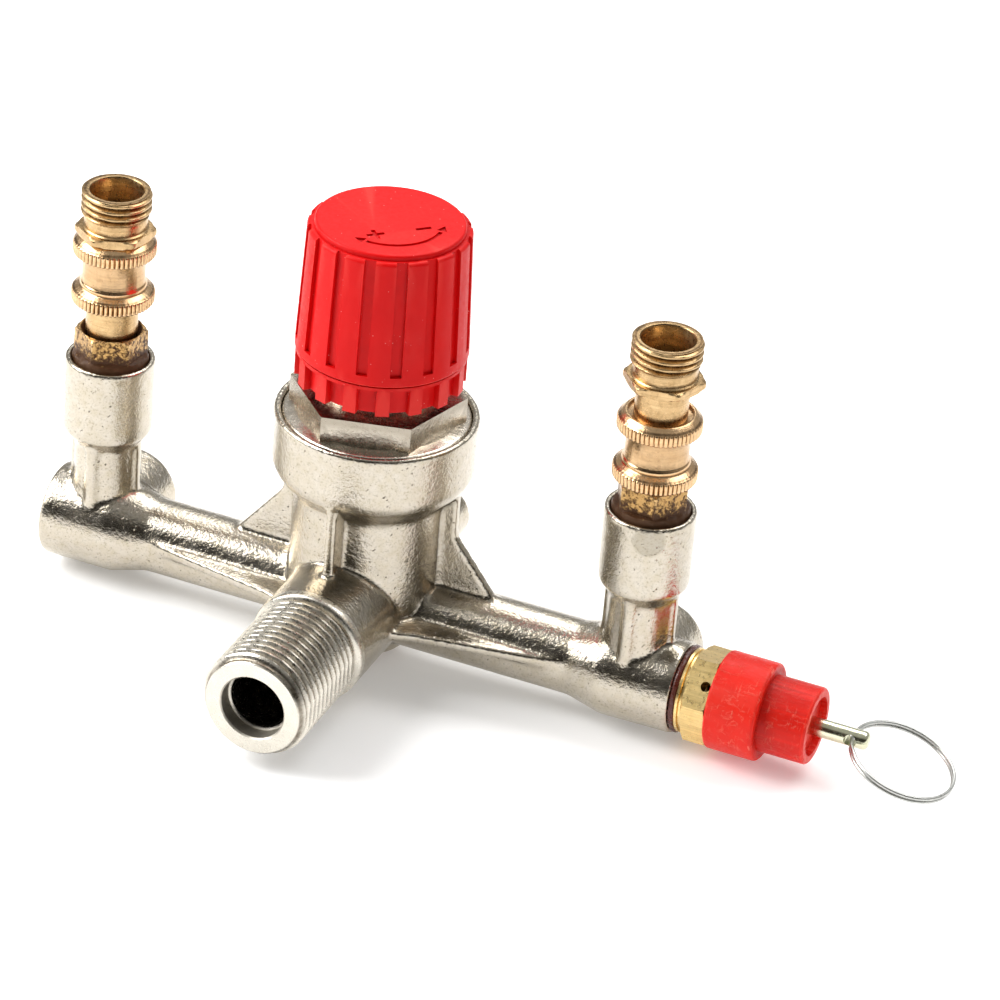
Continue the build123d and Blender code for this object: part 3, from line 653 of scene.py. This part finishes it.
# ---------------------------------------------------------------- hand-slide valves
def valve_tube(side, x, corner_at):
    """Outlet tube: threaded mouth, hexagon and the plain tube that the sleeve slides on."""
    root = G14_ROOT
    crest = OUTLET_R - 0.02
    low, top = span(f"{side}_valve_tube", 2)
    hex_low, hex_high = 72.12, 73.9
    at = (x, 0, 0)
    step = G14_PITCH / 12
    first, last = 76.55, top - 0.22
    rows = [(3.0, 66.0), (3.0, 74.6), (4.95, 75.7), (4.95, top - 0.3), (5.15, top), (6.25, top)]
    start = len(rows)
    count = int((last - first) / step)
    rows += [(root, last - i * step) for i in range(count + 1)]
    stop = len(rows)
    rows += [(root + 0.05, 76.3), (root + 0.12, 75.2), (root + 0.08, 74.6)]
    rows += [(root + 0.05, hex_high + 0.25), (root + 0.4, hex_high - 0.05)]

    def shape(index, r, d, a):
        if start <= index < stop:
            fade = min(1.0, (d - first + 0.4) / 0.8)
            ridge = v_thread(d / G14_PITCH + a / TAU + 0.32, 0.28)
            r = root + (crest - root) * ridge * fade
            r -= max(0.0, wobble((math.cos(a) * 3, math.sin(a) * 3, d), 1.1, 7 + x)) * 0.14
        return r, d

    thread = field(rows, 128, shape, at)

    def hex_shape(index, r, d, a):
        if r < 5.9:
            return r, d
        worn = 0.07 * max(0.0, wobble((math.cos(a) * 5, math.sin(a) * 5, d * 2), 0.8, 11 + x))
        return min(hexagon(13.4, a, corner_at), r) - worn, d

    hex_rows = [(4.95, hex_low), (6.6, hex_low), (6.9, hex_low + 0.05), (7.45, hex_low + 0.35)]
    hex_rows += [(7.6, hex_low + 0.6), (7.6, hex_high - 0.6), (7.45, hex_high - 0.35)]
    hex_rows += [(6.9, hex_high - 0.05), (6.6, hex_high), (5.7, hex_high)]
    nut = field(hex_rows, 144, hex_shape, at, spin=corner_at)
    tube = field([(4.9, hex_low + 0.5), (4.9, 52.2), (4.55, 52.0), (4.55, low)], 96, None, at)
    finish_piece(
        f"{side}_outlet_tube", joined(thread, nut, tube), "manifold", "brass",
        [f"{side}_valve_tube"], angle=36, bevel=0.06,
    )


def valve_base(side, x, corner_at):
    """Lower hexagon standing in its cup, with a ring of squeezed-out sealant round its foot."""
    low, high = span(f"{side}_valve_base", 2)
    at = (x, 0, 0)

    def shape(index, r, d, a):
        ring = (math.cos(a) * 6, math.sin(a) * 6, d)
        if 5 <= index <= 9:         # the hexagon's flanks
            r = min(hexagon(12.0, a, corner_at), r)
            return r - 0.07 * abs(wobble(ring, 0.8, 2 + x)), d
        if 10 <= index <= 13:       # the sealant
            squeezed = wobble(ring, 0.30, 5 + x) + 0.5 * wobble(ring, 0.9, 8 + x)
            return min(7.25, r + 0.30 * squeezed), d + 0.55 * squeezed * (index < 13)
        return r, d

    rows = [(4.92, 50.3), (4.92, 51.2), (5.0, 51.3), (5.6, high - 0.35), (5.75, high - 0.05)]
    rows += [(6.0, high), (6.45, high - 0.12), (6.93, high - 0.5), (6.93, 48.6), (6.93, 47.6)]
    rows += [(6.85, 47.25), (7.1, 46.7), (7.22, 46.0), (7.25, 45.3), (7.2, 44.9), (5.85, 44.8)]
    rows += [(5.85, low)]
    mesh = field(rows, 144, shape, at, spin=corner_at)
    finish_piece(
        f"{side}_lower_adaptor", mesh, "manifold", "stained_brass",
        [f"{side}_valve_base"], angle=36, bevel=0.05,
    )


KNURLS = 54


def valve_sleeve(side, x):
    """Hand-slide sleeve with two knurled collars."""
    low, high = span(f"{side}_sleeve", 2)
    at = (x, 0, low)
    top = high - low
    rows = [(4.97, 2.0), (4.97, 0.3), (5.2, 0), (7.1, 0), (7.55, 0.12), (7.75, 0.4), (7.8, 0.6)]
    rows += [(7.8, 2.15), (7.72, 2.35), (7.6, 2.45), (6.5, 3.12), (6.3, 3.25), (6.2, 3.4)]
    rows += [(6.24, 3.55), (6.27, 3.8), (6.2, 4.1), (6.0, 4.3), (5.9, 4.5), (5.9, 9.5), (6.0, 9.75)]
    rows += [(6.4, 9.97), (7.2, 10.02), (7.6, 10.12), (7.75, 10.3), (7.8, 10.5), (7.8, 12.1)]
    rows += [(7.74, 12.3), (7.6, 12.42), (6.6, top - 0.16), (6.4, top - 0.03), (6.2, top)]
    rows += [(6.02, top - 0.06), (5.95, top - 0.2), (5.95, 12.8), (4.97, 12.7), (4.97, 11.0)]

    def at_skin(a, d):
        return math.cos(a) * 6, math.sin(a) * 6, d

    def shape(index, r, d, a):
        if r > 7.5 and (0.05 < d < 2.4 or 10.1 < d < 12.35):
            tooth = 0.5 + 0.5 * math.cos(KNURLS * a)
            cut = 0.46 * (1 - min(1.0, tooth * 1.7))
            slip = wobble(at_skin(a, d), 0.25, 6 + x)
            return r - max(0.0, cut) * (0.8 + 0.6 * slip), d
        return r - 0.02 * abs(wobble(at_skin(a, d), 1.5, x)), d

    mesh = field(rows, KNURLS * 8, shape, at)
    finish_piece(
        f"{side}_slide", mesh, f"{side}_sleeve", "polished_brass",
        [f"{side}_sleeve"], angle=42,
    )


# ---------------------------------------------------------------- pull ring
def pull_ring():
    """A split ring: two turns of wire, with the step between them."""
    low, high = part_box("pull_ring")
    eye = Vector((97.6, 0, TUBE_Z))         # the stem's cross hole, which the ring hangs from
    centre = (low + high) / 2 / MM
    out = Vector((centre.x - eye.x, 0, centre.z - eye.z)).normalized()
    across = Vector((0, 1, 0))
    up = out.cross(across)
    mean, wire_r = 10.0, 0.36
    half_gap = 0.37                         # half the distance between the two turns of wire
    turns, steps, sides = 1.96, 420, 14
    step_at, step_len = 0.55, 0.085         # where the wire steps over, in turns
    path = []
    for i in range(steps + 1):
        t = turns * i / steps
        a = TAU * (t + step_at)
        rise = min(1.0, max(0.0, (t - (1.0 - step_len / 2)) / step_len))
        lift = (rise - 0.5) * 2 * half_gap
        path.append(centre + (out * math.cos(a) + across * math.sin(a)) * mean + up * lift)
    points, faces = [], []
    for i, p in enumerate(path):
        radial = (p - centre - up * (p - centre).dot(up)).normalized()
        pinch = 1.0                         # both ends of the wire are dressed thinner
        if i < 3 or i > steps - 3:
            pinch = 0.55 + 0.15 * min(i, steps - i)
        for k in range(sides):
            b = TAU * k / sides
            points.append(
                tuple((p + (radial * math.cos(b) + up * math.sin(b)) * wire_r * pinch) * MM)
            )
    for i in range(steps):
        for k in range(sides):
            m = (k + 1) % sides
            faces.append((i * sides + k, i * sides + m, (i + 1) * sides + m, (i + 1) * sides + k))
    faces.append(tuple(range(sides)))
    faces.append(tuple(steps * sides + k for k in range(sides)))
    finish_piece(
        "split_ring", built_mesh(points, faces), "pull_ring", "spring_steel",
        ["pull_ring"], angle=60,
    )


def relief_joint():
    """Squeezed-out sealant and the bright brass collar between the tube's end and the hexagon."""
    low, high = span("relief_gasket", 0)
    at = (0, 0, TUBE_Z)

    def squeezed(index, r, d, a):
        if 1 <= index <= 4:
            r -= 0.30 * abs(wobble((math.cos(a) * 8, math.sin(a) * 8, d), 0.55, 4.0))
        return r, d

    rows = [(6.0, low), (8.1, low), (8.38, low + 0.3), (8.35, low + 0.85), (8.0, low + 1.1)]
    ring = field(rows + [(6.0, low + 1.15)], 144, squeezed, at, "+X")
    finish_piece(
        "joint_sealant", ring, "manifold", "sealant", ["relief_gasket"], angle=60
    )
    rows = [(6.0, low + 1.1), (7.85, low + 1.1), (8.0, low + 1.2), (8.0, high - 0.12)]
    collar = field(rows + [(7.85, high), (6.0, high)], 96, None, at, "+X")
    finish_piece(
        "joint_collar", collar, "manifold", "hex_brass", ["relief_gasket"], angle=40
    )


casting_skin()
inlet_spigot()
relief_joint()
for side, x, upper, lower in (      # where each hexagon's corner points, in degrees
    ("left", -POST_X, 23, 25),
    ("right", POST_X, 11, 55),
):
    valve_tube(side, x, math.radians(upper))
    valve_base(side, x, math.radians(lower))
    valve_sleeve(side, x)
pull_ring()


# ---------------------------------------------------------------- carried-over CAD nodes
CAD_LOOK = {        # material and bevel in millimetres; other nodes take their slot's look
    "bonnet": ("chrome", 0.22),
    "knob": ("red_plastic", 0.16),
    "relief_body": ("hex_brass", 0.12),
    "relief_cap": ("red_cap", 0.25),
    "relief_stem": ("zinc_steel", 0.10),
    "relief_gasket": ("sealant", 0.0),
    "bottom_plug": ("brass", 0.12),
}
slots = {s["node"]: s["material_slot"] for s in frame["record"]["subparts"]}
for name, node in nodes_of.items():
    material, bevel = CAD_LOOK.get(name, (slots[name], 0.0))
    node.data.materials.clear()
    node.data.materials.append(look[material])
    if bevel:
        round_edges(node, bevel, 34)


# ---------------------------------------------------------------- stage, light, camera
AIM = Vector((0, 0, 0.03))          # the lights point here, in metres
FLOOR = 3.0                         # half the floor's width, in metres


def area(name, place, size, power):
    """A rectangular lamp turned to the part; sizes in metres, power in watts."""
    lamp = bpy.data.lights.new(name, "AREA")
    lamp.shape = "RECTANGLE"
    lamp.size, lamp.size_y = size
    lamp.energy = power
    thing = bpy.data.objects.new(name, lamp)
    scene.collection.objects.link(thing)
    thing.location = place
    thing.rotation_euler = (AIM - Vector(place)).to_track_quat("-Z", "Y").to_euler()
    return thing


floor_mesh = bpy.data.meshes.new("floor")
floor_mesh.from_pydata(
    [(-FLOOR, -FLOOR, 0), (FLOOR, -FLOOR, 0), (FLOOR, FLOOR, 0), (-FLOOR, FLOOR, 0)],
    [],
    [(0, 1, 2, 3)],
)
floor = bpy.data.objects.new("floor", floor_mesh)
floor.location.z = cad_low.z
scene.collection.objects.link(floor)
paper = Nodes("white_paper")
floor_mesh.materials.append(
    paper.set(
        Base_Color=(0.96, 0.96, 0.96), Roughness=0.9,
        Emission_Color=(1.0, 1.0, 1.0), Emission_Strength=0.20,
    )
)

world = bpy.data.worlds.new("studio")
scene.world = world
world.use_nodes = True
tree = world.node_tree
coords = tree.nodes.new("ShaderNodeTexCoord")
lean = tree.nodes.new("ShaderNodeVectorMath")
lean.operation = "DOT_PRODUCT"
lean.inputs[1].default_value = (0.0, 0.6, 0.8)      # bright overhead and behind, dark in front
ramp = tree.nodes.new("ShaderNodeValToRGB")
tree.links.new(coords.outputs["Generated"], lean.inputs[0])
tree.links.new(lean.outputs["Value"], ramp.inputs["Fac"])
sky = ramp.color_ramp
sky.elements[0].position = 0.06
sky.elements[0].color = (0.038, 0.036, 0.032, 1)
sky.elements[1].position = 1.0
sky.elements[1].color = (0.50, 0.50, 0.50, 1)
middle_sky = sky.elements.new(0.34)
middle_sky.color = (0.34, 0.335, 0.32, 1)
tree.links.new(ramp.outputs["Color"], tree.nodes["Background"].inputs["Color"])
tree.nodes["Background"].inputs["Strength"].default_value = 1.0

area("key", (-0.80, -0.28, 0.70), (0.70, 0.85), 16.5)
area("top", (0.10, 0.50, 0.90), (1.2, 0.60), 9)
fill = area("fill", (0.85, -0.45, 0.40), (0.25, 0.5), 1.5)
fill.visible_glossy = False

scene.view_settings.view_transform = "Standard"

camera = bpy.data.objects.new("camera", bpy.data.cameras.new("camera"))
scene.collection.objects.link(camera)
camera.data.sensor_width = 36.0
camera.data.lens = 181.92
camera.data.clip_start = 0.05
# The camera's own axes and place, from fitting one perspective camera to the part's outline.
right = Vector((0.9171, 0.3915, 0.0749))
up = Vector((-0.2595, 0.4439, 0.8577))
back = Vector((0.3025, -0.8061, 0.5087))
turn = Matrix((right, up, back)).transposed().to_4x4()
camera.matrix_world = Matrix.Translation(
    Vector((0.30534, -0.74573, 0.49898 + TUBE_Z * MM))
) @ turn
scene.camera = camera
